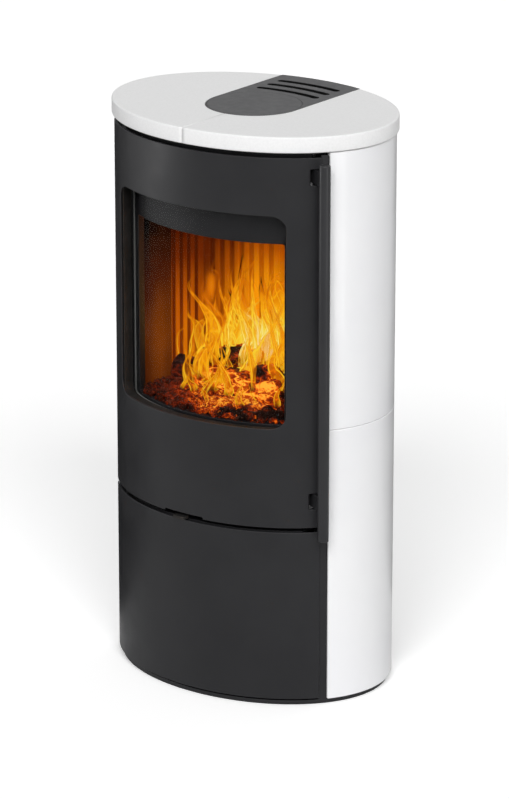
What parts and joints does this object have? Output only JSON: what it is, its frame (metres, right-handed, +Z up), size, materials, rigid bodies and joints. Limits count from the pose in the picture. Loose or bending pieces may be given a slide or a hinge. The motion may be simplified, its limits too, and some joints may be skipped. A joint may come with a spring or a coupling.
{
  "type": "wood stove",
  "caption": "Free-standing wood stove with an elliptical plan, curved glazed door, bar handle, lower compartment door, ceramic side tiles and a stone top.",
  "frame": {"origin": "on the floor, in the middle of the footprint", "axes": "+Z up, -Y towards the front with the doors, +X to the stove's right as seen from the front"},
  "size_m": [0.5472, 0.415, 1.041],
  "materials": {
    "black_steel": "satin high-temperature paint",
    "cast_grey": "fine-grained painted casting",
    "cast_black": "matt casting",
    "tile": "smooth white glaze",
    "stone": "honed pale stone",
    "sheet_steel": "bare sheet",
    "fire_brick": "matt pressed board",
    "glass": "clear ceramic glass",
    "seal_rope": "knitted glass-fibre rope"
  },
  "bodies": {
    "root": {"base_plate": "black_steel", "carcass_shell": "black_steel", "latch_post": "black_steel", "hinge_post": "black_steel", "middle_deck": "black_steel", "top_deck": "black_steel", "rear_panel": "black_steel", "fire_frame": "black_steel", "top_cover": "cast_grey", "flue_collar": "cast_black", "top_outlet_blank": "cast_black", "grate": "cast_black", "log_guard": "cast_black", "tile_right_lower": "tile", "tile_right_upper": "tile", "tile_left_lower": "tile", "tile_left_upper": "tile", "top_slab_left": "stone", "top_slab_right": "stone", "firebox_casing": "sheet_steel", "hearth_shelf": "sheet_steel", "casing_roof": "sheet_steel", "latch_catch_lower": "sheet_steel", "latch_catch_upper": "sheet_steel", "air_box": "sheet_steel", "air_duct": "sheet_steel", "air_inlet_collar": "sheet_steel", "door_hinge_bracket_lower": "sheet_steel", "door_hinge_bracket_upper": "sheet_steel", "panel_hinge_bracket_lower": "sheet_steel", "panel_hinge_bracket_upper": "sheet_steel", "cheek_left": "fire_brick", "cheek_right": "fire_brick", "side_brick_left": "fire_brick", "side_brick_right": "fire_brick", "back_brick_left": "fire_brick", "back_brick_right": "fire_brick", "baffle_left": "fire_brick", "baffle_right": "fire_brick", "hearth_brick_left": "fire_brick", "hearth_brick_right": "fire_brick"},
    "door": {"door_skin": "black_steel", "door_inner_frame": "cast_black", "door_glass": "glass", "door_gasket": "seal_rope", "glass_retainer_top": "sheet_steel", "glass_retainer_bottom": "sheet_steel", "door_hinge_lower": "sheet_steel", "door_hinge_upper": "sheet_steel", "shaft_bracket_lower": "sheet_steel", "shaft_bracket_upper": "sheet_steel"},
    "handle": {"handle_bar": "black_steel", "handle_arm_lower": "black_steel", "handle_arm_upper": "black_steel", "latch_shaft": "sheet_steel"},
    "lower_door": {"lower_door_panel": "black_steel", "lower_door_frame": "cast_black"},
    "ash_drawer": {"ash_pan": "sheet_steel"},
    "air_control": {"air_slide": "sheet_steel"},
    "lid": {"flue_lid": "cast_grey"}
  },
  "joints": [
    {"name": "door_swing", "type": "hinge", "parent": "root", "child": "door", "pos_m": [-0.22201, -0.10295, 0], "axis": [0, 0, -1], "range_deg": [0, 100]},
    {"name": "handle_turn", "type": "hinge", "parent": "door", "child": "handle", "pos_m": [0.198, -0.104, 0], "axis": [0, 0, -1], "range_deg": [0, 15]},
    {"name": "lower_door_swing", "type": "hinge", "parent": "root", "child": "lower_door", "pos_m": [-0.22201, -0.10295, 0], "axis": [0, 0, -1], "range_deg": [0, 100]},
    {"name": "ash_pan_slide", "type": "slide", "parent": "root", "child": "ash_drawer", "axis": [0, -1, 0], "range_m": [0, 0.151]},
    {"name": "air_slide_travel", "type": "slide", "parent": "root", "child": "air_control", "axis": [1, 0, 0], "range_m": [-0.022, 0.036]},
    {"name": "lid_lift", "type": "slide", "parent": "root", "child": "lid", "axis": [0, 0, 1], "range_m": [0, 0.06]}
  ],
  "couplings": [
    {"joint": "ash_pan_slide", "follows": "door_swing", "m_per_rad": 0.0859}
  ]
}
